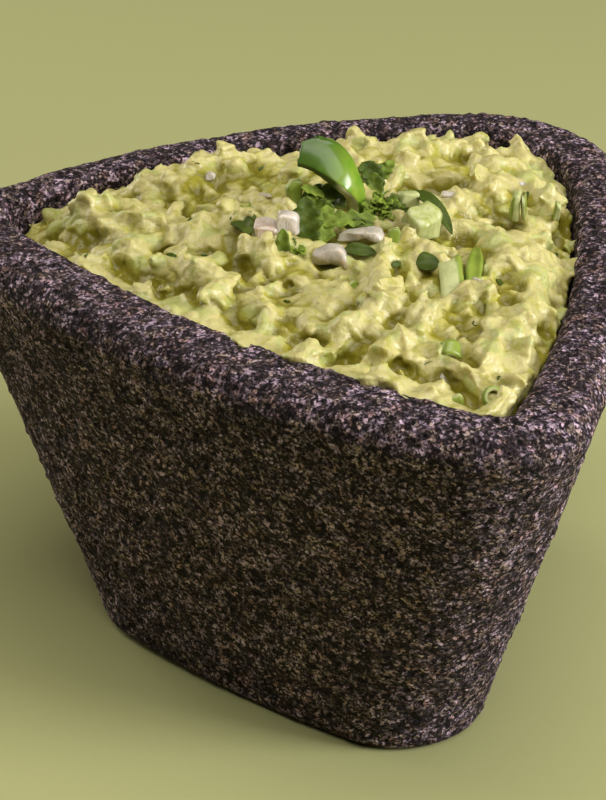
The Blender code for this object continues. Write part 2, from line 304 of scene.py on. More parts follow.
class Plan:
    """A triangle with bowed sides and round corners, read by the angle of its outward normal."""

    def __init__(self, distances, bows, corners):
        self.bows = np.array(bows)
        self.corners = np.array(corners)
        self.centres = -unit(SIDE_ANGLES) * (self.bows - np.array(distances))[:, None]
        self.arcs = [self.corner_arc(side) for side in range(3)]

    def corner_arc(self, side):
        """Return the centre of the corner after a side, and its normals' first and last angle."""
        after = (side + 1) % 3
        radius = self.corners[side]
        reach, reach_after = self.bows[side] - radius, self.bows[after] - radius
        apart = self.centres[after] - self.centres[side]
        gap = np.linalg.norm(apart)
        along = (gap ** 2 + reach ** 2 - reach_after ** 2) / (2 * gap)
        across = math.sqrt(reach ** 2 - along ** 2)
        direction = apart / gap
        sideways = np.array((-direction[1], direction[0]))
        foot = self.centres[side] + direction * along
        outwards = unit(SIDE_ANGLES[side]) + unit(SIDE_ANGLES[after])
        centre = max((foot + sideways * across, foot - sideways * across), key=outwards.dot)
        start, end = centre - self.centres[side], centre - self.centres[after]
        return centre, math.atan2(start[1], start[0]), math.atan2(end[1], end[0])

    def points(self, angles, outwards=0.0):
        """Return the plan's points for these angles, offset outwards."""
        normals = unit(angles)
        side = np.argmax(np.cos(angles[:, None] - SIDE_ANGLES), axis=1)
        points = self.centres[side] + normals * self.bows[side][:, None]
        for corner, (centre, start, end) in enumerate(self.arcs):
            within = (angles - start) % TAU <= (end - start) % TAU
            points[within] = centre + normals[within] * self.corners[corner]
        return points + normals * outwards

    def depth(self, places):
        """Return how far inside the plan each place lies."""
        angles = turns(180)
        normals = unit(angles)
        reaches = (normals * self.points(angles)).sum(axis=1)
        return (reaches - np.atleast_2d(places) @ normals.T).min(axis=1)


# The cavity's floor: distances, bows and corners, all in millimetres.
CAVITY_FLOOR = ((50, 52, 52), (150, 150, 150), (36, 40, 36))


def bowl_plans():
    """Return the rim's, the opening's, the base's and the cavity floor's plan."""
    sizes = bpy.context.scene.bowl_settings
    return (Plan(sizes.rim_distances, sizes.rim_bows, sizes.rim_corners),
            Plan(sizes.opening_distances, sizes.opening_bows, sizes.opening_corners),
            Plan(sizes.base_distances, sizes.base_bows, sizes.base_corners),
            Plan(*([value * MM for value in values] for values in CAVITY_FLOOR)))


def plan_middle(rim):
    """Return the middle of the rim's box in plan, which is the object's origin."""
    points = rim.points(turns(720))
    return (points.min(axis=0) + points.max(axis=0)) / 2


def even_angles(plan, spacing):
    """Return angles of the normal that space points evenly along the plan."""
    dense = np.linspace(0, TAU, 4000)
    steps = np.linalg.norm(np.diff(plan.points(dense), axis=0), axis=1)
    travelled = np.concatenate(([0], np.cumsum(steps)))
    count = round(travelled[-1] / spacing)
    return np.interp(np.linspace(0, travelled[-1], count, endpoint=False), travelled, dense)


def ring_mesh(rows, **values):
    """Skin rows of closed rings with a grid whose two ends meet, and keep values for its points."""
    rows = np.asarray(rows)
    closed = np.concatenate((rows, rows[:, :1]), axis=1)
    bm = bmesh.new()
    bmesh.ops.create_grid(bm, x_segments=closed.shape[1] - 1, y_segments=len(rows) - 1, size=0.5)
    for vert, place in zip(bm.verts, closed.reshape(-1, 3)):
        vert.co = place
    for name, value in values.items():
        layer = bm.verts.layers.float.new(name)
        value = np.concatenate((value, value[:, :1]), axis=1)
        for vert, amount in zip(bm.verts, value.reshape(-1)):
            vert[layer] = amount
    bmesh.ops.remove_doubles(bm, verts=bm.verts, dist=MERGED)
    ends = [edge for edge in bm.edges if edge.is_boundary]
    bmesh.ops.holes_fill(bm, edges=ends, sides=0)
    bmesh.ops.recalc_face_normals(bm, faces=bm.faces)
    return bm


def row_normals(rows):
    """Return the outward normals of rows of closed rings that run upwards and anticlockwise."""
    around = np.roll(rows, -1, axis=1) - np.roll(rows, 1, axis=1)
    upwards = np.gradient(rows, axis=0)
    normals = np.cross(around, upwards)
    return normals / np.maximum(np.linalg.norm(normals, axis=2, keepdims=True), 1e-12)


def smooth_step(value):
    """Return 0 to 1 with level ends as the value goes from 0 to 1."""
    value = np.clip(value, 0, 1)
    return value * value * (3 - 2 * value)


def fade(value, start, width):
    """Rise from 0 to 1 over a width after a start, in millimetres, or fall where it is negative."""
    return smooth_step((value - start * MM) / (width * MM))


def add_piece(name, bm, material, node=None):
    """Make a finished piece from a bmesh, dress it and let it ride on the body."""
    mesh = bpy.data.meshes.new(name)
    bm.to_mesh(mesh)
    bm.free()
    mesh.shade_smooth()
    mesh.materials.append(material)
    piece = bpy.data.objects.new(name, mesh)
    bpy.context.scene.collection.objects.link(piece)
    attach(piece, "root")
    if node:
        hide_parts(node)
    return piece


def set_attribute(mesh, name, values):
    """Store one value for each point of a mesh."""
    made = mesh.attributes.new(name, "FLOAT", "POINT")
    made.data.foreach_set("value", np.asarray(values, dtype=np.float32))


def mesh_points(mesh):
    """Return a mesh's points as an array."""
    points = np.empty(len(mesh.vertices) * 3, dtype=np.float32)
    mesh.vertices.foreach_get("co", points)
    return points.reshape(-1, 3).astype(float)


def noise_at(points, size, seed=0.0):
    """Return smooth noise from about -1 to 1 at each point."""
    offset = Vector((seed * 7.3, seed * 3.1, seed * 5.7))
    return np.array([noise.noise(Vector(point) / size + offset) for point in points])


def sway(place, size):
    """Return a smoothly varying vector whose parts go from about -1 to 1."""
    place = place / size
    return Vector([noise.noise(place + Vector((31.7 * axis, 11.3, 5.1))) for axis in range(3)])


def grains_at(points, size):
    """Return a relief of separate grains and pits of about the given size, from -1 to 1."""
    relief = np.empty(len(points))
    contrast, reach = 2.6, 0.62
    for index, point in enumerate(points):
        distances, centres = noise.voronoi(Vector(point) / size)
        height = noise.noise(centres[0] * 9.7) * contrast
        relief[index] = height * max(1 - distances[0] / reach, 0)
    return np.clip(relief, -1, 1)


# The stone bowl ---------------------------------------------------------------------------------

BASE_SHIFT = (2.0, 0.8)      # the base's middle against the rim's, in millimetres
TOP_WIDTH = 7.5              # the rim's top between its two rounded edges, in millimetres
CAVITY_BOTTOM = 22           # the height of the cavity's lowest point, in millimetres
CAVITY_FULLNESS = 2.1        # the cavity's section: 2 is an ellipse, and more is squarer
FINE_DEPTH = 0.13            # the share of the cavity's depth with fine rings
HIDDEN_ROWS = 9              # the coarse rings at the bottom of the cavity, under the guacamole
RIM_ROWS = 112               # the fine rings that belong to the rim's piece


def quarter(radius, start, end):
    """Return angles from start to end in degrees, spaced for a rounding of this radius."""
    spacing = bpy.context.scene.bowl_settings.grain_spacing
    return np.radians(np.linspace(start, end, math.ceil(radius * math.pi / 2 / spacing) + 1))


def between(first, second, apart):
    """Return the rings between two others that lie this far apart."""
    spacing = bpy.context.scene.bowl_settings.grain_spacing
    shares = np.linspace(0, 1, math.ceil(apart / spacing) + 1)[1:-1]
    return [first + (second - first) * share for share in shares]


def cavity_rows(upper, lower, axis, top):
    """Return the cavity's rings from below its lip down to its lowest point."""
    fine, coarse = np.linspace(0, FINE_DEPTH, 16)[1:], np.linspace(FINE_DEPTH, 0.97, 9)[1:]
    rows = []
    for share in (*fine, *coarse, 1):
        width = max(1 - share ** CAVITY_FULLNESS, 0) ** (1 / CAVITY_FULLNESS)
        wall = axis + (upper + (lower - upper) * share - axis) * width
        rows.append(wall + (0, 0, top - (top - CAVITY_BOTTOM * MM) * share))
    return rows


def bowl_rows(angles):
    """Return the bowl's rings, from its base up the wall, over the rim and down the cavity."""
    sizes = bpy.context.scene.bowl_settings
    rim, opening, base, floor = bowl_plans()
    middle = plan_middle(rim)
    outer, inner, foot = sizes.outer_rounding, sizes.inner_rounding, sizes.base_rounding
    shift = np.array(BASE_SHIFT) * MM

    def ring(plan, height, outwards=0.0, shift=0.0):
        """Return one ring of points along a plan."""
        flat = plan.points(angles, outwards) + shift - middle
        return np.column_stack((flat, np.full(len(angles), height)))

    rows = [ring(base, foot * (1 - math.cos(turn)), foot * (math.sin(turn) - 1), shift)
            for turn in quarter(foot, 0, 90)]
    rows += between(rows[-1], ring(rim, RIM_HEIGHT - outer), RIM_HEIGHT)
    rows += [ring(rim, RIM_HEIGHT - outer * (1 - math.sin(turn)), outer * (math.cos(turn) - 1))
             for turn in quarter(outer, 0, 90)]
    lip = [ring(opening, RIM_HEIGHT - inner * (1 - math.sin(turn)), inner * (0.5 - math.cos(turn)))
           for turn in quarter(inner, 90, 0)]
    rows += between(rows[-1], lip[0], TOP_WIDTH * MM) + lip
    upper, lower = ring(opening, 0, -inner / 2), ring(floor, 0)
    return np.array(rows + cavity_rows(upper, lower, np.append(-middle, 0), RIM_HEIGHT - inner))


# The stone's relief: size in millimetres and share of each layer.
STONE_WAVES = ((34, 0.5), (12, 0.5))
STONE_GRAINS = ((3.6, 0.75), (2.1, 0.7), (1.35, 0.4))
GRAIN_LEVEL = 0.25       # the grain that lies level with the smooth surface
FADE_ROWS = 8            # the rings over which the relief fades out in the cavity


def weathered(rows):
    """Return the rings with the stone's waves, grains and pits, and each point's relief."""
    sizes = bpy.context.scene.bowl_settings
    flat = rows.reshape(-1, 3)
    waves = sum(noise_at(flat, size * MM, layer) * share
                for layer, (size, share) in enumerate(STONE_WAVES))
    grains = sum(grains_at(flat + layer, size * MM) * share
                 for layer, (size, share) in enumerate(STONE_GRAINS))
    grains += noise_at(flat, 1.5 * MM, 2) * 0.3
    row = np.arange(len(flat)) // rows.shape[1]
    seen = fade(flat[:, 2], 0.3, 3) * smooth_step((len(rows) - HIDDEN_ROWS - row) / FADE_ROWS)
    move = (waves * sizes.waviness + (grains - GRAIN_LEVEL) * sizes.grain) * seen
    moved = flat + row_normals(rows).reshape(-1, 3) * move[:, None]
    low, high = (np.array(corner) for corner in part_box("stone_bowl"))
    return np.clip(moved, low, high).reshape(rows.shape), grains.reshape(rows.shape[:2])


def stone_material():
    """Make the stone: grains from near black to pale, purple and brown, between pits darkened by
    painted shade.
    """
    colours = bpy.context.scene.bowl_settings
    look = Look("volcanic_stone", specular_ior_level=0.2)
    relief = look.attribute("relief")
    fine = look.noise(0.7 * MM, 3, (1, 1, 0.8))
    specks = look.cells(0.5 * MM, "Color", shake=0.2).step(0.25, 0.85)
    grains = look.cells(0.95 * MM, "Color", shake=0.4).step(0.3, 0.9)
    flecks = look.cells(1.25 * MM).step(0.4, 0.2) * look.cells(1.25 * MM, "Color").step(0.48, 0.7)
    patches = look.noise(3.6 * MM, 2).step(0.3, 0.68) * 1.1 + 0.35
    cloud = (look.noise(16 * MM, 3) * 0.7 + 0.5) * patches
    # Painted shade: the pits, and the low places of the relief, darken the colour towards the dark
    # ground mass.
    pits = look.noise(2.3 * MM, 2).step(0.43, 0.32) * 0.9 + relief.step(-0.05, -0.5) * 0.6
    share = ((specks * 0.85 + 0.05) * (grains + 0.09) + flecks * 0.55) * cloud
    share = share * (1 - pits.step(0.0, 1.0) * 0.85)
    warm = look.cells(1.6 * MM, "Color", shake=0.4).step(0.45, 0.7)
    rust = look.cells(1.9 * MM, "Color", shake=0.5).step(0.62, 0.7)
    tint = look.mix(rust * 0.45, look.mix(warm, colours.pale, colours.warm), colours.rust)
    stone = look.mix(share, colours.dark, tint)
    look.bump(fine * 0.6 + specks * 0.12 + grains * 0.2 - pits * 0.5, 0.8 * MM, 1.0)
    return look.surface(stone, 0.95 - share * 0.3)


class GUACAMOLE_OT_bowl(bpy.types.Operator):
    """Model the rough stone bowl as a body and a finer rim, and hide its plain solid"""

    bl_idname = "guacamole.bowl"
    bl_label = "Stone bowl"

    def execute(self, context):
        angles = even_angles(bowl_plans()[0], context.scene.bowl_settings.grain_spacing)
        rows, relief = weathered(bowl_rows(angles))
        inner = len(rows) - HIDDEN_ROWS - 1
        outer = inner - RIM_ROWS
        stone = stone_material()
        for name, part in (("stone_bowl_body", [*range(outer + 1), *range(inner, len(rows))]),
                           ("stone_bowl_rim", [*range(outer, inner + 1), outer])):
            add_piece(name, ring_mesh(rows[part], relief=relief[part]), stone, "stone_bowl")
        return {"FINISHED"}


# The guacamole ----------------------------------------------------------------------------------

CUT_DEPTH = 12 * MM      # below the rim, where the detailed surface meets the plain body
SLAB_MARGIN = 2 * MM     # how much deeper the detailed slab is before it is cut
BRIDGE = 3 * MM          # the height of the bridge between the two
ABOVE = 1.0              # the height from which plumb lines fall
CHUNK_GAP = 3.9          # the least distance between two chunks, in millimetres
CHUNK_INSIDE = 2.8       # the least distance from a chunk to the opening's wall, in millimetres


def node_copy(node):
    """Return a merged copy of a CAD node's mesh as a bmesh."""
    bm = bmesh.new()
    bm.from_mesh(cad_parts[node].data)
    bmesh.ops.remove_doubles(bm, verts=bm.verts, dist=0.001 * MM)
    return bm


def cut_level(bm, height, keep_above):
    """Cut a bmesh along a level plane, keep one side, and return the open edges."""
    bmesh.ops.bisect_plane(bm, geom=bm.verts[:] + bm.edges[:] + bm.faces[:], dist=MERGED,
                           plane_co=(0, 0, height), plane_no=(0, 0, 1),
                           clear_inner=keep_above, clear_outer=not keep_above)
    return [edge for edge in bm.edges if edge.is_boundary]


def add_mesh(bm, other):
    """Add one bmesh to another and free it."""
    mesh = bpy.data.meshes.new("part")
    other.to_mesh(mesh)
    other.free()
    bm.from_mesh(mesh)
    bpy.data.meshes.remove(mesh)


def drop_on(tree, place):
    """Return the point and the normal where a plumb line at a place meets a surface."""
    above = Vector((place[0], place[1], ABOVE))
    point, normal, _, _ = tree.ray_cast(above, Vector((0, 0, -1)))
    if point is None:
        raise RuntimeError("Nothing lies below this place")
    return point, normal


def scatter(draw, wanted, gap, inside):
    """Return places in plan, gap apart and deeper than inside in the opening, in millimetres."""
    rim, opening = bowl_plans()[:2]
    middle = Vector(plan_middle(rim))
    found = []
    for _ in range(wanted * 40):
        place = Vector((draw.uniform(-80, 80) * MM, draw.uniform(-70, 70) * MM))
        if any((place - other).length_squared < (gap * MM) ** 2 for other in found):
            continue
        if opening.depth(np.array(place + middle))[0] > inside * MM:
            found.append(place)
        if len(found) == wanted:
            break
    return found


def crumpled(bm, draw, amount, size):
    """Push a small shape's points in and out with noise."""
    offset = Vector((draw.uniform(0, 90), draw.uniform(0, 90), draw.uniform(0, 90)))
    for vert in bm.verts:
        vert.co *= 1 + amount * noise.noise(vert.co / size + offset)


LUMPS, BLOCKS = 0.3, 0.55     # the shares of round lumps and of blocks; the rest are smears


def chunk(draw, radius):
    """Return a bmesh of one firmer lump, block or smear of avocado around its middle."""
    bm = bmesh.new()
    kind = draw.random()
    tilt = draw.uniform(-0.8, 0.8)
    if kind < LUMPS:
        bmesh.ops.create_icosphere(bm, subdivisions=3, radius=radius)
        shape = (draw.uniform(1, 1.5), draw.uniform(0.6, 1), draw.uniform(0.6, 1))
    elif kind < LUMPS + BLOCKS:
        bmesh.ops.create_cube(bm, size=radius * 1.7)
        bmesh.ops.bevel(bm, geom=bm.edges[:], affect="EDGES", offset=radius * 0.2, segments=2,
                        profile=0.5, material=-1)
        bmesh.ops.subdivide_edges(bm, edges=bm.edges[:], cuts=2, use_grid_fill=True)
        shape = (draw.uniform(0.8, 1.5), draw.uniform(0.5, 0.9), draw.uniform(0.7, 1.1))
    else:
        bmesh.ops.create_icosphere(bm, subdivisions=3, radius=radius * 0.8)
        shape = (draw.uniform(1.6, 2.4), draw.uniform(0.4, 0.7), draw.uniform(0.6, 1))
    crumpled(bm, draw, 0.4, radius)
    turn = Euler((tilt, draw.uniform(-0.6, 0.6), draw.uniform(0, TAU))).to_matrix().to_4x4()
    bmesh.ops.transform(bm, matrix=turn @ Matrix.Diagonal((*shape, 1)), verts=bm.verts)
    return bm


def garnish_boxes():
    """Return the plan boxes of the garnish's solids, a little enlarged."""
    grow = Vector((0.8, 0.8, 0)) * MM
    names = [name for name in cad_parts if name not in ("stone_bowl", "guacamole")]
    return [(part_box(name)[0] - grow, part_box(name)[1] + grow) for name in names]


def covered(place, boxes):
    """Tell whether a place lies in one of these boxes in plan."""
    return any(low.x < place.x < high.x and low.y < place.y < high.y for low, high in boxes)


def remeshed(bm, voxel, smoothing):
    """Return one smooth closed shell round everything in a bmesh."""
    mesh = bpy.data.meshes.new("rough")
    bm.to_mesh(mesh)
    bm.free()
    rough = bpy.data.objects.new("rough", mesh)
    bpy.context.scene.collection.objects.link(rough)
    shell = rough.modifiers.new("shell", "REMESH")
    shell.mode = "VOXEL"
    shell.voxel_size = voxel
    soft = rough.modifiers.new("soft", "SMOOTH")
    soft.factor = 0.5
    soft.iterations = smoothing
    made = bmesh.new()
    made.from_object(rough, bpy.context.evaluated_depsgraph_get())
    bpy.data.objects.remove(rough)
    bpy.data.meshes.remove(mesh)
    return made


# The mash's relief in millimetres: the spacing and the height of each kind of form.
MOUNDS = (10.2, 6.4)
HOLLOWS = (10, 4.6)
FLAPS = (5.6, 0.6)
SWELLS = (16, 1.8)
RIPPLES = (3.2, 0.35)
HOLLOW_REACH = 0.46      # a hollow's radius as a share of its spacing
# The largest hollows and mounds of the mash: place, radius and rise, all in millimetres.
SPOTS = (
    (-7, -43, 6.5, -5), (-15, -39, 5, -3.5), (12, -50, 5, -4), (32, -37, 4.5, -4), (42, -17, 4, -3.5),
    (-39, -13, 7, -3.5), (-60, -33, 4.5, -4), (2, 50, 4.5, -4), (25, -24, 4, -3), (-24, -19, 5.5, -4),
    (20, 21.5, 5.5, -5), (53, -37, 4, -3.5), (-29, -41, 4, 3), (-17, -50, 4, 2.5), (35, -48, 4, 3.5),
    (37, -31, 6, 3), (25, -46, 4.5, 3), (-12, 42, 5, 3), (-43, 0, 5, 2), (-6, -53, 4.5, 2.5),
    (17, -23, 6, 1.5), (43, -1, 5, 2), (5, -35, 5, 2), (11, 19, 7.5, 2.5), (-55, -22, 6, 2),
    (-34, 35, 9, -6.5), (-24, 38, 7, -4), (-40, 14, 7, -4), (-65, -20, 7, -3.5), (-73, -41, 8, -4.5),
    (-1, 57, 6, 3.5), (-3.5, -3, 5, -8),
)


def mashed(place):
    """Return how far the mash rises at a place: mounds, hollows and a few thin flaps."""
    flat = Vector((place.x, place.y, 0)) / MM
    flat = flat + sway(flat, 12) * 4
    away = min(noise.voronoi(flat / MOUNDS[0])[0][0], 0.95)
    mounds = (0.5 - math.sqrt(away * away + 0.05)) * MOUNDS[1]
    distances, centres = noise.voronoi((flat + Vector((50, 20, 0))) / HOLLOWS[0])
    dug = noise.noise(centres[0] * 5.3) > 0.02
    hollows = -HOLLOWS[1] * max(0, 1 - (distances[0] / HOLLOW_REACH) ** 2) if dug else 0
    for x, y, radius, rise in SPOTS:
        away = ((place.x / MM - x) ** 2 + (place.y / MM - y) ** 2) / radius ** 2
        hollows += rise * max(0, 1 - away) ** 1.5
    ridge = max(0, 1 - abs(noise.noise(flat / FLAPS[0] + Vector((9, 3, 1)))) * 5)
    flaps = FLAPS[1] * ridge ** 1.4 * max(0, noise.noise(flat / 9 + Vector((4, 7, 2))) + 0.3)
    waves = [noise.noise(flat / spacing) * height for spacing, height in (SWELLS, RIPPLES)]
    return mounds + hollows + flaps + waves[0] + waves[1]


FULL_RISE = 2.2          # above this, in millimetres, the mash rises less steeply
DEEPEST = 4.5            # the deepest that it may sink, in millimetres


def front_shares(place, depth):
    """Return how much a place takes part in the filled front edge, and in its lap over the rim."""
    inward = fade(place.x, -64, 24)
    filled = fade(depth, 16, -12) * (fade(-place.y, 8, 25) * inward)
    lap = fade(depth, 8, -6) * inward
    return filled, lap * fade(-place.y, 30, 14)


def mash_move(vert, depth, boxes):
    """Return how the mash moves a point of the slab that lies this deep inside the opening."""
    place = vert.co
    front, lap = front_shares(place, depth)
    facing = smooth_step((vert.normal.z - 0.15) / 0.5)
    share = float(facing * fade(depth, 1.2 - lap, 3))
    if share == 0:
        return Vector()
    fill = max(0, RIM_HEIGHT / MM + 0.7 - place.z / MM) * front
    rise = max(mashed(place) * (1 - 0.1 * front), -DEEPEST + 2.2 * front) + fill
    if covered(place, boxes):
        rise = rise * 0.25 + 0.2
    rise = min(rise, FULL_RISE + (rise - FULL_RISE) * 0.4 + fill * 0.6)
    lean = sway(place, 7 * MM) * (0.35 * min(rise, 3) + 1.0)
    spill = lap * (4.4 + 6 * noise.noise(place / (7 * MM)))
    return Vector((lean.x, lean.y - spill, rise - 0.3)) * (share * MM)


def mash_slab():
    """Return the top of the guacamole's body as a closed slab with mounds, hollows and flaps."""
    rim, opening = bowl_plans()[:2]
    middle = plan_middle(rim)
    whole = node_copy("guacamole")
    open_edges = cut_level(whole, RIM_HEIGHT - CUT_DEPTH - SLAB_MARGIN, True)
    bmesh.ops.holes_fill(whole, edges=open_edges, sides=0)
    slab = remeshed(whole, 0.7 * MM, 6)
    slab.normal_update()
    boxes = garnish_boxes()
    depths = opening.depth(np.array([vert.co.xy for vert in slab.verts]) + middle)
    for vert, depth in zip(slab.verts, depths):
        vert.co += mash_move(vert, depth, boxes)
    return slab


def lumpy_mesh():
    """Return the mash with its firmer chunks as one bmesh."""
    sizes = bpy.context.scene.heap_settings
    draw = random.Random(sizes.seed)
    whole = mash_slab()
    surface = BVHTree.FromBMesh(whole)
    boxes = garnish_boxes()
    for place in scatter(draw, sizes.lumps, CHUNK_GAP, CHUNK_INSIDE):
        radius = sizes.lump_size * draw.uniform(0.5, 1.3)
        rise = draw.uniform(-0.5, 0.12) * radius
        if covered(place, boxes):
            rise = -0.9 * radius
        middle = drop_on(surface, place)[0] + Vector((0, 0, rise))
        one = chunk(draw, radius)
        bmesh.ops.translate(one, verts=one.verts, vec=middle)
        add_mesh(whole, one)
    return whole


def largest_shell(bm):
    """Delete all but the largest connected shell."""
    shells, seen = [], set()
    for first in bm.verts:
        if first in seen:
            continue
        seen.add(first)
        shell = [first]
        for vert in shell:
            for edge in vert.link_edges:
                other = edge.other_vert(vert)
                if other not in seen:
                    seen.add(other)
                    shell.append(other)
        shells.append(shell)
    shells.sort(key=len)
    loose = [vert for shell in shells[:-1] for vert in shell]
    bmesh.ops.delete(bm, geom=loose, context="VERTS")


def joined_to_body(bm):
    """Cut the detailed surface off level and bridge it to the plain body in the cavity."""
    cut_level(bm, RIM_HEIGHT - CUT_DEPTH, True)
    largest_shell(bm)
    body = node_copy("guacamole")
    cut_level(body, RIM_HEIGHT - CUT_DEPTH - BRIDGE, False)
    add_mesh(bm, body)
    bmesh.ops.bridge_loops(bm, edges=[edge for edge in bm.edges if edge.is_boundary])
    bmesh.ops.recalc_face_normals(bm, faces=bm.faces)


# The breaks in the surface: the size of their bits and how far they lift, in millimetres.
BREAKS = ((4.6, 0.6), (1.9, 0.07))


def broken(bm):
    """Break the surface into bits with creases between them, and keep their tones."""
    crease, tone = (bm.verts.layers.float.new(name) for name in ("crease", "tone"))
    for vert in bm.verts:
        if vert.co.z < RIM_HEIGHT - CUT_DEPTH + 0.5 * MM:
            continue
        spot = vert.co / MM
        spot += sway(spot, 4.5) * 1.5
        gaps, tones, relief = [], [], 0
        for size, lift in BREAKS:
            distances, centres = noise.voronoi(spot / size)
            gaps.append(max(0, 1 - (distances[1] - distances[0]) / 0.4))
            tones.append(noise.cell(centres[0] * 7.7))
            relief += lift * (noise.noise(centres[0] * 5.1) * 0.9 - gaps[-1] ** 1.5 * 0.8)
        vert[tone] = tones[0]
        # The crease value later darkens the paste as painted shade.
        vert[crease] = max(gaps[0], gaps[1] * 0.4)
        relief += noise.noise(spot / 1.3) * 0.08
        vert.co += vert.normal * relief * MM


FULL_HOLLOW = 2.6        # the depth, in millimetres, that counts as a full hollow


def local_mean(points, cell, reach):
    """Return the mean height round each point, over cells of the plan."""
    low = points[:, :2].min(axis=0)
    spots = ((points[:, :2] - low) / cell).astype(int)
    shape = spots.max(axis=0) + 1
    total, count = np.zeros(shape), np.zeros(shape)
    np.add.at(total, tuple(spots.T), points[:, 2])
    np.add.at(count, tuple(spots.T), 1)
    weights = np.exp(-0.5 * (np.arange(-3 * reach, 3 * reach + 1) / reach) ** 2)
    for axis in (0, 1):
        total = np.apply_along_axis(np.convolve, axis, total, weights, "same")
        count = np.apply_along_axis(np.convolve, axis, count, weights, "same")
    return (total / np.maximum(count, 1e-9))[tuple(spots.T)]


def guacamole_material():
    """Make the paste: cream patches with a painted highlight on its tops, yellow and green patches, and
    olive hollows with painted shade, under a wet film.
    """
    colours = bpy.context.scene.heap_settings
    look = Look("mashed_avocado", subsurface_weight=0.45, subsurface_radius=(1.0, 0.85, 0.3),
                subsurface_scale=2.8 * MM, specular_ior_level=0.5)
    hollow, crease, tone = (look.attribute(name) for name in ("hollow", "crease", "tone"))
    fine = look.noise(1.4 * MM, 3)
    streaks = look.noise(4.5 * MM, 4, (1, 1, 1.6))
    bits = look.cells(1.7 * MM, "Color", shake=0.6)
    # Painted highlight: where the paste stands above its local mean height it turns to the ridge
    # colour, mixed with cream patches from noise.
    high = (fine * 0.5 + streaks * 1.4 + bits * 0.2 - hollow * 0.9 - 1.05).step(-0.2, 0.5)
    # Painted shade: hollows and creases turn to the valley colour, along with darker streaks from
    # noise.
    low = (hollow * 1.1 + crease * 0.3 + streaks * 1.0 - 0.4).step(0.0, 0.8)
    ochre = look.noise(3.6 * MM, 3).step(0.5, 0.62)
    fresh = (look.noise(7 * MM, 3) + tone * 0.18).step(0.56, 0.68)
    paste = look.mix(ochre * 0.8, colours.body, colours.ochre)
    paste = look.mix((high + tone.step(0.35, 0.0) * 0.4).step(0.0, 1.0), paste, colours.ridge)
    paste = look.mix(fresh * 0.7, paste, colours.green)
    paste = look.mix(look.noise(2.8 * MM, 2).step(0.56, 0.68) * 0.55, paste, colours.olive)
    paste = look.mix(low, paste, colours.valley_shade)
    flecks = look.cells(1.3 * MM).step(0.17, 0.08) * look.noise(3.3 * MM, 1).step(0.5, 0.62)
    paste = look.mix(flecks * 0.7, paste, colours.herb)
    look.bump(fine * 0.5 + look.noise(0.6 * MM, 3) * 0.35 + bits * 0.15, 0.45 * MM, 0.9)
    return look.surface(paste, 0.2 + look.noise(2.5 * MM, 2) * 0.24)


class GUACAMOLE_OT_heap(bpy.types.Operator):
    """Model the lumpy guacamole and hide its plain solid"""

    bl_idname = "guacamole.heap"
    bl_label = "Guacamole"

    def execute(self, context):
        sizes = context.scene.heap_settings
        bm = remeshed(lumpy_mesh(), sizes.voxel, 5)
        joined_to_body(bm)
        bm.normal_update()
        broken(bm)
        piece = add_piece("guacamole_lumpy", bm, guacamole_material(), "guacamole")
        points = mesh_points(piece.data)
        # The hollow depth later drives the paste's painted shade and painted highlight.
        depth = local_mean(points, 0.6 * MM, 6) - points[:, 2]
        set_attribute(piece.data, "hollow", np.clip(depth / (FULL_HOLLOW * MM), -1, 1))
        return {"FINISHED"}


# The garnish ------------------------------------------------------------------------------------

def heap_tree():
    """Return the guacamole's surface for laying things on."""
    bm = bmesh.new()
    bm.from_mesh(bpy.data.objects["guacamole_lumpy"].data)
    tree = BVHTree.FromBMesh(bm)
    bm.free()
    return tree


def add_toned(bm, other, tone):
    """Add one bmesh to another with a tone of its own, from 0 to 1."""
    layer = other.verts.layers.float.new("tone")
    for vert in other.verts:
        vert[layer] = tone
    add_mesh(bm, other)


def posed(bm, place, turn, tilt=0.0, roll=0.0):
    """Turn a shape and put it in its place, with angles in degrees."""
    angles = Euler([math.radians(angle) for angle in (roll, tilt, turn)])
    matrix = Matrix.Translation(place) @ angles.to_matrix().to_4x4()
    bmesh.ops.transform(bm, matrix=matrix, verts=bm.verts)
    return bm


# The chili curl, with lengths in millimetres and angles in degrees.
CURL_PLACE, CURL_TURN = (-3.7, -1.0, 108.4), 24
CURL_START, CURL_SWEEP = -8, 103     # the arch's angle at the foot, and its turn up to the tip
CURL_REACH, CURL_RISE = 14.8, 16     # the arch's half axes
CURL_SQUARE = 0.84                   # 1 is an ellipse, and less is squarer
CURL_TWIST, CURL_ROLL = -9, 33       # the strip's twist at the foot, and its roll at the tip
CURL_WALL = (2.5, 1.6)               # the wall's thickness at the foot, and how much is lost
CURL_WIDTHS = (1.8, 3.6, 0.5)        # half the width at the foot, its growth, and its later loss
CURL_DROOP, CURL_FULL = 2.4, 6.8     # how far the sides droop where half the width is so much
CURL_EDGE = 0.12                     # how far the two faces draw together along the sides
CURL_NARROW = 0.32                   # the share by which one half narrows towards the tip


def torn_edge(way):
    """Return how far the strip's end reaches at a place across it, with a notch on one side."""
    notch = 1.2 * max(0, 1 - abs(way - 0.66) / 0.26)
    notch += 1.2 * noise.noise(Vector((way * 4, 1, 2)))
    return -0.8 - 3.4 * max(0, way - 0.2) / 0.8 - notch


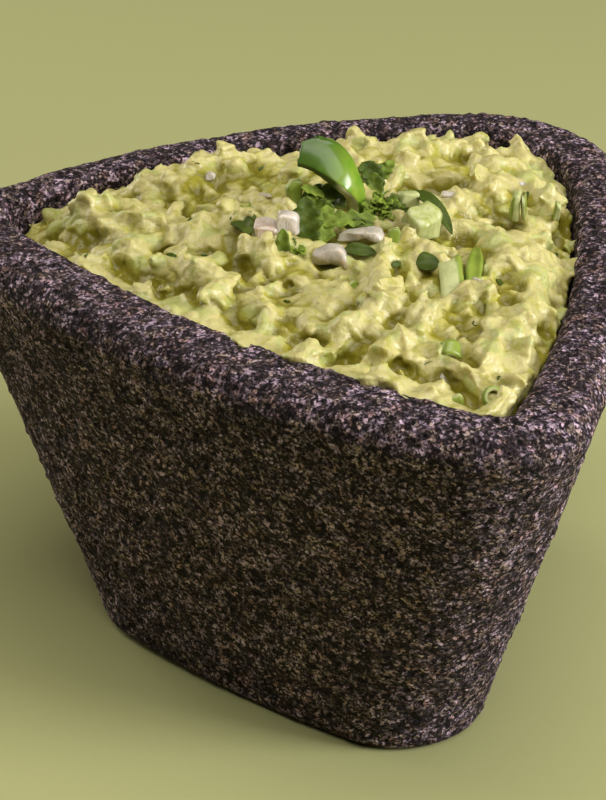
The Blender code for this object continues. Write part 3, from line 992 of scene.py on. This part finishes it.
def curl_section(share, ways):
    """Return the skin's and the inner side's points across the chili strip."""
    angle = math.radians(CURL_START + CURL_SWEEP * share)
    bent = [math.copysign(abs(part) ** CURL_SQUARE, part)
            for part in (math.cos(angle), math.sin(angle))]
    spread = (CURL_WIDTHS[0] + CURL_WIDTHS[1] * smooth_step(share / 0.55)
              - CURL_WIDTHS[2] * smooth_step((share - 0.7) / 0.3)) * MM
    twist = math.radians(CURL_TWIST) * (1 - smooth_step(share / 0.42))
    roll = math.radians(CURL_ROLL) * smooth_step(share)
    ragged = 0.05 * noise.noise(Vector((share * 11, 0, 3)))
    spine = Vector((CURL_REACH * (bent[0] - 1), -1.5 * share, CURL_RISE * bent[1])) * MM
    outwards = Matrix.Rotation(twist, 3, "Z") @ Vector((math.cos(angle), 0, math.sin(angle)))
    sideways = Vector((-math.sin(twist), math.cos(twist) * math.cos(roll), math.sin(roll)))
    onwards = Vector((-math.sin(angle), 0, math.cos(angle)))
    wall = (CURL_WALL[0] - CURL_WALL[1] * share) * MM
    narrow = CURL_NARROW * smooth_step((share - 0.55) / 0.45)
    tip = smooth_step((share - 0.6) / 0.4) * MM
    loop = []
    for side, order in ((0, ways), (-wall, ways[::-1])):
        for way in order:
            droop = CURL_DROOP * MM * way * way * spread / (CURL_FULL * MM)
            edge = CURL_EDGE * MM * (abs(way) == 1)
            reach = torn_edge(way) * tip
            lift = side + (edge if side else -edge) - droop
            broad = way * spread * (1 + way * ragged - (narrow if way < 0 else 0))
            loop.append(spine + outwards * lift + sideways * broad + onwards * reach)
    return loop


def chili_curl():
    """Return the arched strip of chili wall on its narrow foot, skin outwards."""
    ways = np.concatenate(([-1, -0.985], np.linspace(-0.93, 0.93, 21), [0.985, 1]))
    shares = np.linspace(0, 1, 64)
    rows = np.array([curl_section(share, ways) for share in shares])
    rows += (noise_at(rows.reshape(-1, 3), 5 * MM, 4) * 0.22 * MM).reshape(*rows.shape[:2], 1)
    cut = np.ones(rows.shape[:2])
    cut[:, 1:len(ways) - 1] = 0
    bm = ring_mesh(rows, cut=cut, age=np.repeat(shares[:, None], rows.shape[1], axis=1))
    return posed(bm, Vector(CURL_PLACE) * MM, CURL_TURN)


def chili_material(name, plain, light, dark, flesh):
    """Make chili: green skin in three tones, glossy, and pale moist flesh where it is cut, which past
    the curl's middle turns to painted shade on its inner side.
    """
    colours = bpy.context.scene.garnish_settings
    look = Look(name, coat_roughness=0.2, specular_ior_level=0.2,
                subsurface_weight=0.1, subsurface_radius=(0.5, 1.0, 0.2), subsurface_scale=1 * MM)
    cut = look.attribute("cut").step(0.35, 0.65)
    blotch = look.noise(4 * MM, 2)
    tip = (look.attribute("age") + (blotch - 0.5) * 0.5).step(0.35, 0.95)
    skin = look.mix(tip, look.mix(blotch.step(0.3, 0.75), plain, light), dark)
    inside = look.mix(look.noise(1.2 * MM, 3), flesh, colours.pith)
    inside = look.mix(look.noise(3 * MM, 2).step(0.5, 0.7) * 0.35, inside, colours.moss)
    # Painted shade: past the middle of the curl, its cut flesh and inner side turn to the inner colour.
    inside = look.mix(look.attribute("age").step(0.42, 0.6), inside, colours.inner)
    look.bump(look.noise(0.7 * MM, 2) * (cut * 0.8 + 0.2), 0.12 * MM, 0.5)
    look.feed(look.shader.inputs["Coat Weight"], 0.8 - cut * 0.6)
    return look.surface(look.mix(cut, skin, inside), 0.5)


def onion_material(name, tint):
    """Make raw onion: milky, translucent and faintly veined."""
    colours = bpy.context.scene.garnish_settings
    look = Look(name, subsurface_weight=0.6, subsurface_radius=(1.0, 0.85, 0.6), ior=1.4,
                subsurface_scale=2.6 * MM, coat_weight=0.5, coat_roughness=0.14)
    veins = look.noise(0.8 * MM, 2, (1, 1, 0.25)).step(0.45, 0.7)
    cloud = look.noise(2.4 * MM, 2)
    base = look.mix(cloud.step(0.35, 0.65), tint, colours.onion)
    base = look.mix(veins * 0.3, base, colours.onion_vein)
    look.bump(veins * 0.5 + cloud * 0.5, 0.25 * MM, 0.7)
    return look.surface(base, 0.28 + cloud * 0.2)


def avocado_material():
    """Make the firm avocado dice: pale and moist, with greener streaks."""
    colours = bpy.context.scene.garnish_settings
    look = Look("firm_avocado", subsurface_weight=0.35, subsurface_radius=(1.0, 0.9, 0.35),
                subsurface_scale=1.8 * MM, coat_weight=0.5, coat_roughness=0.1)
    streak = look.noise(1.4 * MM, 3, (1, 1, 0.3))
    base = look.mix(streak.step(0.3, 0.7), colours.avocado_green, colours.avocado)
    look.bump(streak, 0.3 * MM, 0.8)
    return look.surface(base, 0.18 + streak * 0.25)


def facet(draw, size, taper, point, bow):
    """Return a soft-edged piece cut by knife, narrower, pointed and bowed towards one end."""
    bm = bmesh.new()
    bmesh.ops.create_cube(bm, size=1)
    bmesh.ops.bevel(bm, geom=bm.edges[:], affect="EDGES", offset=0.22, segments=3, profile=0.5,
                    material=-1)
    bmesh.ops.subdivide_edges(bm, edges=bm.edges[:], cuts=1, use_grid_fill=True)
    offset = Vector((draw.uniform(0, 50), draw.uniform(0, 50), draw.uniform(0, 50)))
    for vert in bm.verts:
        part = vert.co.x + 0.5
        vert.co.y *= 1 - taper * part
        vert.co.z *= 1 - taper * 0.5 * part
        vert.co.x += point * part * (0.5 - abs(vert.co.y))
        vert.co.z += bow * (0.25 - vert.co.x * vert.co.x)
        uneven = [noise.noise(vert.co * 1.9 + offset * (axis + 1)) for axis in range(3)]
        vert.co += Vector(uneven) * 0.2
        vert.co = Vector(part * full * MM for part, full in zip(vert.co, size))
    bmesh.ops.smooth_vert(bm, verts=bm.verts, factor=0.5, use_axis_x=True, use_axis_y=True,
                          use_axis_z=True)
    bmesh.ops.recalc_face_normals(bm, faces=bm.faces)
    return bm


# Dice: size, taper, point, bow, turn, roll and shift from the solid. Lengths are in millimetres and
# angles in degrees, and taper, point and bow are shares of the size.
DICE = {
    "onion_dice_1": ((5.4, 5.6, 5.4), 0.2, 0.2, 0.3, 39, 6, (0, 0, 0.3)),
    "onion_dice_2": ((4.6, 5.0, 5.6), 0.4, 0.4, 0.5, 39, -6, (0, 0, 0.2)),
    "onion_dice_3": ((7.4, 6.6, 4.6), 0.55, 0.5, 0.6, 215, 12, (0.9, 0.7, 0.1)),
    "onion_dice_4": ((7.6, 6.0, 3.0), 0.7, 0.7, 0.6, 215, 14, (0.6, 0.4, 0.6)),
    "avocado_dice": ((8.6, 7.4, 7.4), 0.2, 0.2, 0.2, 75, 14, (-1.0, -0.7, 0.5)),
}


def dice_piece(name, material):
    """Make one garnish block where its solid lies, with a fixed seed for each name."""
    draw = random.Random(len(name) + ord(name[-1]))
    *shape, turn, roll, shift = DICE[name]
    low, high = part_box(name)
    middle = (low + high) / 2 + Vector(shift) * MM
    add_piece(name + "_cut", posed(facet(draw, *shape), middle, turn, 0, roll), material, name)


BLADE_WIDEST = 0.42      # the greatest value of a blade's plain outline


def blade(reach, width, arch, lobes=2, notch=0.15, thickness=0.22):
    """Return a leaf blade with lobed edges, from its base at the origin along X, in millimetres."""
    bm = bmesh.new()
    bmesh.ops.create_grid(bm, x_segments=20, y_segments=6, size=0.5)
    for vert in bm.verts:
        share, way = vert.co.x + 0.5, vert.co.y * 2
        spread = share ** 0.5 * (1 - share) ** 0.8 / BLADE_WIDEST + 0.03
        lobe = 1 - notch * (1.6 * abs((lobes * share) % 1 - 0.5))
        edge = way * width / 2 * spread * lobe
        forward = reach * (share + 0.06 * abs(way) * lobe * spread)
        height = arch * reach * share * (1 - share) + 0.15 * abs(way) * width * spread
        ripple = 0.1 * width * math.sin(lobes * TAU * share + way) * abs(way) * spread
        vert.co = Vector((forward, edge, height + ripple)) * MM
    bmesh.ops.remove_doubles(bm, verts=bm.verts, dist=0.03 * MM)
    bmesh.ops.recalc_face_normals(bm, faces=bm.faces)
    bmesh.ops.solidify(bm, geom=bm.faces[:], thickness=thickness * MM)
    return bm


def laid(start, end, width, arch, roll, lobes, notch, thickness=0.22):
    """Return a leaf blade from one place to another, in millimetres, facing up and forward."""
    start, end = Vector(start) * MM, Vector(end) * MM
    along = (end - start).normalized()
    across = Vector((0.3, -0.45, 0.85)).cross(along).normalized()
    turned = Matrix((along, across, along.cross(across))).transposed().to_4x4()
    made = blade((end - start).length / MM, width, arch, lobes, notch, thickness)
    matrix = Matrix.Translation(start) @ turned @ Matrix.Rotation(math.radians(roll), 4, "X")
    bmesh.ops.transform(made, matrix=matrix, verts=made.verts)
    return made


def tuft(bm, draw, middle, spread, count):
    """Add a tuft of small lobed leaves round a place in millimetres."""
    middle = Vector(middle)
    for _ in range(count):
        turn = draw.uniform(0, TAU)
        reach = Vector((math.cos(turn), math.sin(turn), 0)) * draw.uniform(0.4, 1) * spread
        rise = Vector((0, 0, draw.uniform(0.2, 2.4)))
        start = middle + reach * 0.35 + Vector((0, 0, draw.uniform(-0.6, 0.4)))
        end = start + reach.normalized() * draw.uniform(2.2, 4.2) + rise
        made = laid(start, end, draw.uniform(1.8, 3.2), draw.uniform(0, 0.5),
                    draw.uniform(-50, 50), 3, 0.4)
        add_toned(bm, made, turn / TAU)


def leaf_material():
    """Make the cilantro: dark and pale green blades with a soft sheen and fine veins."""
    colours = bpy.context.scene.garnish_settings
    look = Look("cilantro_leaf", specular_ior_level=0.2, subsurface_weight=0.12,
                subsurface_radius=(0.4, 1.0, 0.15), subsurface_scale=0.8 * MM)
    veins = look.noise(0.6 * MM, 2)
    light = (look.noise(5.0 * MM, 3) + look.attribute("tone") * 0.8 - 0.4).step(0.2, 0.8)
    base = look.mix(light, colours.leaf, colours.leaf_light)
    base = look.mix(veins.step(0.5, 0.8) * 0.15, base, colours.leaf_vein)
    look.bump(veins, 0.25 * MM, 0.7)
    return look.surface(base, 0.45 + light * 0.12)


# Leaves: start, end, width, arch, roll, lobes, notch and tone. Lengths are in millimetres and the
# roll in degrees, arch and notch are shares of the size, and a tone of 1 is the palest.
LEAVES = (
    ((-5.2, -21.6, 107.2), (-9.4, -17.5, 117.0), 8.6, 0.3, 0, 4, 0.45, 0.15),
    ((-2.0, -19.8, 107.8), (-5.8, -13.3, 114.4), 6.2, 0.2, 10, 3, 0.5, 0.55),
    ((3.8, -6.8, 111.4), (-7.0, -19.4, 111.2), 4.6, 0.25, -8, 5, 0.5, 0.6),
    ((-1.6, -13.2, 110.4), (4.6, -8.6, 111.0), 3.2, 0.3, 20, 3, 0.5, 0.4),
    ((-14.9, -11.9, 115.4), (-10.6, -8.2, 112.8), 3.2, 0.3, 0, 3, 0.5, 0.8),
    ((-13.6, -11.0, 114.6), (-10.9, -9.9, 109.4), 3.0, 0.3, 0, 3, 0.5, 0.7),
    ((-13.0, 9.8, 114.4), (-6.0, 8.7, 109.8), 6.6, 0.2, 0, 4, 0.5, 0.1),
    ((-10.4, 8.6, 112.6), (-4.6, 6.4, 109.6), 5.4, 0.2, 14, 3, 0.5, 0.4),
    ((-8.8, 11.0, 110.8), (-7.6, 15.2, 114.8), 4.4, 0.2, 0, 3, 0.5, 0.6),
    ((-1.8, 3.4, 112.4), (5.4, 0.6, 111.2), 3.6, 0.3, 16, 3, 0.3, 0.7),
    ((2.2, 8.4, 112.3), (18.0, 4.4, 107.8), 3.9, 0.72, -14, 1, 0.0, 0.1),
    ((5.0, -20.8, 109.4), (11.0, -16.4, 108.8), 3.2, 0.3, 10, 1, 0.0, 0.15),
    ((-24.6, -22.6, 108.4), (-16.5, -28.7, 108.2), 6.4, 0.25, 10, 3, 0.5, 0.1),
    ((-5.2, -30.8, 108.0), (-6.3, -29.6, 114.0), 3.4, 0.2, 0, 2, 0.2, 0.45),
    ((-16.8, -9.2, 110.2), (-7.4, -3.2, 113.0), 6.6, 0.2, 0, 4, 0.45, 0.3),
    ((-13.4, -3.0, 110.6), (-5.4, -7.0, 111.4), 6.2, 0.2, 20, 3, 0.5, 0.1),
    ((-12.8, -10.2, 109.6), (-5.6, -10.6, 110.6), 5.4, 0.2, 0, 4, 0.5, 0.5),
    ((-14.6, 0.6, 112.0), (-6.6, 1.2, 111.6), 6.0, 0.2, -20, 3, 0.5, 0.7),
    ((20.4, -13.4, 108.0), (24.6, -9.9, 108.2), 5.0, 0.1, 0, 1, 0.0, 0.05),
)
# Tufts of small leaves: middle and spread in millimetres, and count.
TUFTS = (
    ((0.6, -2.2, 110.4), 3.6, 16),
    ((4.2, -0.6, 110.4), 3.0, 12),
    ((0.6, 1.6, 111.0), 2.6, 9),
    ((-4.2, -27.6, 108.6), 2.2, 7),
)


class GUACAMOLE_OT_chili(bpy.types.Operator):
    """Model the curl of chili and hide its plain solid"""

    bl_idname = "guacamole.chili"
    bl_label = "Chili curl"

    def execute(self, context):
        colours = context.scene.garnish_settings
        green = chili_material("green_chili", colours.chili, colours.chili_light,
                               colours.chili_dark, colours.flesh)
        add_piece("chili_curl_cut", chili_curl(), green, "chili_curl")
        return {"FINISHED"}


class GUACAMOLE_OT_dice(bpy.types.Operator):
    """Model the cut onion and avocado and hide their plain solids"""

    bl_idname = "guacamole.dice"
    bl_label = "Onion and avocado dice"

    def execute(self, context):
        colours = context.scene.garnish_settings
        white = onion_material("white_onion", colours.onion_milky)
        pink = onion_material("blush_onion", colours.onion_blush)
        dice_piece("onion_dice_1", pink)
        for name in ("onion_dice_2", "onion_dice_3", "onion_dice_4"):
            dice_piece(name, white)
        dice_piece("avocado_dice", avocado_material())
        return {"FINISHED"}


class GUACAMOLE_OT_cilantro(bpy.types.Operator):
    """Lay the cilantro leaves and tufts on the heap"""

    bl_idname = "guacamole.cilantro"
    bl_label = "Cilantro"

    def execute(self, context):
        bm = bmesh.new()
        bm.verts.layers.float.new("tone")
        tree = heap_tree()
        for start, end, *shape, tone in LEAVES:
            middle = (Vector(start) + Vector(end)) / 2
            over = drop_on(tree, middle * MM)[0].z / MM + 0.5 - middle.z
            lift = Vector((0, 0, max(0, over)))
            add_toned(bm, laid(Vector(start) + lift, Vector(end) + lift, *shape), tone)
        draw = random.Random(context.scene.heap_settings.seed + 1)
        for middle, spread, count in TUFTS:
            tuft(bm, draw, middle, spread, count)
        add_piece("cilantro", bm, leaf_material())
        return {"FINISHED"}


# Rings of chopped chili: place, height over the heap, radius, length, turn, roll and opening, in
# millimetres and degrees.
TUBES = (
    ((46.9, -36.4), 0.0, 2.7, 3.6, 215, 60, 190),
    ((64.0, -43.6), -0.8, 2.6, 2.8, 37, 50, 60),
)
# Bits of chili wall with skin on one side: middle, size, turn, tilt and roll, likewise.
BITS = (
    ((-17.6, -10.9, 112.4), (3.4, 5.0, 6.6), 217, 0, 8),
    ((4.6, 4.4, 112.2), (4.6, 3.6, 4.2), 40, 10, 0),
    ((10.6, -8.5, 109.6), (2.6, 2.6, 4.4), 217, 0, 20),
    ((31.2, -13.4, 106.0), (13.0, 6.0, 5.0), -45, 30, 10),
    ((14.8, -32.8, 106.2), (8.0, 1.8, 2.8), -86, 6, 0),
    ((58.4, -50.0, 101.4), (3.4, 2.2, 3.2), 217, 0, 0),
    ((21.9, 24.6, 108.6), (3.0, 2.6, 7.0), 127, 0, 4),
    ((23.8, 25.4, 108.8), (2.6, 1.4, 6.0), 307, 0, 4),
    ((28.7, 32.6, 106.4), (2.6, 1.8, 5.0), 127, 0, 6),
)
# Strips of olive avocado flesh: start, end and width, likewise.
STRIPS = (
    ((26.7, 1.9, 108.6), (36.9, -13.6, 105.2), 3.2),
    ((14.5, -29.0, 107.4), (15.1, -36.7, 106.2), 2.4),
    ((-30.0, -14.0, 107.2), (-24.0, -20.5, 107.4), 2.6),
)
STRIP_THICKNESS = 1.6


def skinned(draw, size):
    """Return a bit of chili wall: pale flesh with a layer of skin on its far side."""
    made = facet(draw, size, 0.15, 0.3, 0.1)
    cut = made.verts.layers.float.new("cut")
    for vert in made.verts:
        vert[cut] = 1 - smooth_step((vert.co.y / (size[1] * MM) - 0.1) / 0.25)
    return made


def tube(radius, height, opening):
    """Return a short piece of chili wall, open along one side, with its skin outside."""
    bm = bmesh.new()
    start = bm.verts.new((radius, 0, -height / 2))
    end = bm.verts.new((radius * 0.9, 0, height / 2))
    profile = bm.edges.new((start, end))
    bmesh.ops.spin(bm, geom=[profile, start, end], cent=(0, 0, 0), axis=(0, 0, 1), dvec=(0, 0, 0),
                   angle=TAU - opening, steps=18, use_merge=False)
    upright = [edge for edge in bm.edges
               if abs(edge.verts[0].co.z - edge.verts[1].co.z) > height / 2]
    bmesh.ops.subdivide_edges(bm, edges=upright, cuts=4)
    bmesh.ops.recalc_face_normals(bm, faces=bm.faces)
    skin = bm.verts.layers.float.new("cut")
    outer = set(bm.verts)
    bmesh.ops.solidify(bm, geom=bm.faces[:], thickness=radius * 0.4)
    for vert in bm.verts:
        vert[skin] = 0 if vert in outer else 1
        vert.co *= 1 + 0.12 * noise.noise(vert.co / (2.2 * MM))
    return bm


def cut_chili(draw, tree):
    """Return the rings, the bits and the strips as one bmesh."""
    bm = bmesh.new()
    for place, over, radius, height, turn, roll, opening in TUBES:
        ground = drop_on(tree, Vector(place) * MM)[0] + Vector((0, 0, over * MM))
        made = tube(radius * MM, height * MM, math.radians(opening))
        add_mesh(bm, posed(made, ground, turn, 0, roll))
    for middle, size, turn, tilt, roll in BITS:
        add_mesh(bm, posed(skinned(draw, size), Vector(middle) * MM, turn, tilt, roll))
    for start, end, width in STRIPS:
        add_mesh(bm, laid(start, end, width, 0.2, 0, 1, 0.0, STRIP_THICKNESS))
    return bm


def onion_bit(draw):
    """Return one small bit of onion."""
    size = (draw.uniform(1.6, 3.4), draw.uniform(1.2, 2.6), draw.uniform(0.7, 1.3))
    return facet(draw, size, draw.uniform(0.1, 0.6), draw.uniform(0, 0.5), 0.3)


def herb_fleck(draw):
    """Return one small fleck of herb."""
    return blade(draw.uniform(1.4, 3.2), draw.uniform(0.9, 1.8), 0.3)


def strewn(draw, tree, places, make, over):
    """Return small shapes that lie on the heap at these places, over it by some millimetres."""
    bm = bmesh.new()
    for place in places:
        ground, normal = drop_on(tree, place)
        made = make(draw)
        angles = normal.to_track_quat("Z", "Y").to_euler()
        add_mesh(bm, posed(made, ground + normal * over * MM, draw.uniform(0, 360),
                           math.degrees(angles.y), math.degrees(angles.x)))
    return bm


class GUACAMOLE_OT_chopped(bpy.types.Operator):
    """Scatter the chopped chili, onion and herb in the heap"""

    bl_idname = "guacamole.chopped"
    bl_label = "Chopped bits"

    def execute(self, context):
        tree = heap_tree()
        sizes, colours = context.scene.heap_settings, context.scene.garnish_settings
        draw = random.Random(sizes.seed + 2)
        chili = cut_chili(draw, tree)
        onion = strewn(draw, tree, scatter(draw, sizes.onion_bits, 14, 7), onion_bit, -0.15)
        herb = strewn(draw, tree, scatter(draw, sizes.herb_flecks, 8, 5), herb_fleck, 0.02)
        soft = chili_material("soft_green", colours.soft, colours.soft_light, colours.soft_dark,
                              colours.soft_flesh)
        add_piece("chopped_chili", chili, soft)
        add_piece("chopped_onion", onion, bpy.data.materials["white_onion"])
        add_piece("chopped_herb", herb, bpy.data.materials["cilantro_leaf"])
        return {"FINISHED"}


# The stage --------------------------------------------------------------------------------------

# Lights: place and width in metres, power in watts, tint, and the strength of their highlights.
LIGHTS = {
    "key": ((0.26, -0.12, 1.15), 1.1, 12.5, (1, 0.96, 0.9), 0.22),
    "side": ((1.0, 0.35, 0.48), 0.45, 14, (0.98, 0.97, 1), 1.0),
    "fill": ((-1.0, -0.04, 0.32), 0.7, 6.0, (1, 0.94, 0.84), 0.15),
}
LIGHTS_AIM = (0, 0, 0.07)
ROOM_LIGHT = 0.012       # the strength of the light from all round


def area_light(name, place, size, power, tint, shine):
    """Add a soft square light that shines on the heap."""
    lamp = bpy.data.lights.new(name, "AREA")
    lamp.size = size
    lamp.energy = power
    lamp.color = tint
    lamp.specular_factor = shine
    made = bpy.data.objects.new(name, lamp)
    bpy.context.scene.collection.objects.link(made)
    made.location = place
    made.rotation_euler = (Vector(LIGHTS_AIM) - made.location).to_track_quat("-Z", "Y").to_euler()


def floor_material():
    """Make the plain pale floor."""
    colours = bpy.context.scene.stage_settings
    look = Look("pale_floor")
    mottle = look.noise(2 * MM, 2)
    base = look.mix(mottle * 0.2, colours.floor, tuple(part * 0.86 for part in colours.floor))
    return look.surface(base, 0.85 + mottle * 0.1)


def lay_floor():
    """Lay a square floor of 6 m."""
    bm = bmesh.new()
    bmesh.ops.create_grid(bm, x_segments=1, y_segments=1, size=3)
    mesh = bpy.data.meshes.new("floor")
    bm.to_mesh(mesh)
    bm.free()
    mesh.materials.append(floor_material())
    floor = bpy.data.objects.new("floor", mesh)
    bpy.context.scene.collection.objects.link(floor)


def light_room(scene):
    """Give the room a faint light from all round, and hang the soft lights."""
    world = bpy.data.worlds.new("room")
    world.use_nodes = True
    background = world.node_tree.nodes["Background"]
    background.inputs["Color"].default_value = (*scene.stage_settings.room, 1)
    background.inputs["Strength"].default_value = ROOM_LIGHT
    scene.world = world
    for name, light in LIGHTS.items():
        area_light(name, *light)


def set_camera(scene):
    """Set up the camera round the point that it looks at."""
    view = scene.stage_settings
    lens = bpy.data.cameras.new("camera")
    lens.lens = view.lens
    lens.clip_end = 20
    camera = bpy.data.objects.new("camera", lens)
    scene.collection.objects.link(camera)
    away = Matrix.Rotation(view.azimuth, 4, "Z") @ Matrix.Rotation(-view.elevation, 4, "X")
    back = away @ Vector((0, -1, 0))
    turn = back.to_track_quat("Z", "Y").to_matrix().to_4x4() @ Matrix.Rotation(view.roll, 4, "Z")
    camera.matrix_world = Matrix.Translation(Vector(view.aim) + back * view.distance) @ turn
    scene.camera = camera


class GUACAMOLE_OT_stage(bpy.types.Operator):
    """Lay the floor and set up the light and the camera"""

    bl_idname = "guacamole.stage"
    bl_label = "Stage"

    def execute(self, context):
        lay_floor()
        light_room(context.scene)
        set_camera(context.scene)
        context.scene.view_settings.view_transform = "Standard"
        return {"FINISHED"}


# The panel --------------------------------------------------------------------------------------

class GUACAMOLE_PT_panel(bpy.types.Panel):
    """Show the settings and a button for each group of pieces."""

    bl_idname = "GUACAMOLE_PT_panel"
    bl_label = "Guacamole"
    bl_space_type = "VIEW_3D"
    bl_region_type = "UI"
    bl_category = "Guacamole"

    def draw(self, context):
        for settings in SETTINGS:
            box = self.layout.box()
            for name in SETTINGS[settings].__annotations__:
                box.prop(getattr(context.scene, settings), name)
        for operator in OPERATORS:
            self.layout.operator(operator.bl_idname)


SETTINGS = {"bowl_settings": BowlSettings, "heap_settings": HeapSettings,
            "garnish_settings": GarnishSettings, "stage_settings": StageSettings}
OPERATORS = (GUACAMOLE_OT_stage, GUACAMOLE_OT_bowl, GUACAMOLE_OT_heap, GUACAMOLE_OT_chili,
             GUACAMOLE_OT_dice, GUACAMOLE_OT_cilantro, GUACAMOLE_OT_chopped)


def register():
    """Register the settings, the operators and the panel."""
    for name, settings in SETTINGS.items():
        bpy.utils.register_class(settings)
        setattr(bpy.types.Scene, name, PointerProperty(type=settings))
    for made in (*OPERATORS, GUACAMOLE_PT_panel):
        bpy.utils.register_class(made)


def unregister():
    """Unregister everything that register registered."""
    for made in (GUACAMOLE_PT_panel, *reversed(OPERATORS)):
        bpy.utils.unregister_class(made)
    for name, settings in SETTINGS.items():
        delattr(bpy.types.Scene, name)
        bpy.utils.unregister_class(settings)


def main():
    """Make every piece."""
    register()
    for operator in OPERATORS:
        group, name = operator.bl_idname.split(".")
        getattr(getattr(bpy.ops, group), name)()


if __name__ == "__main__":
    main()
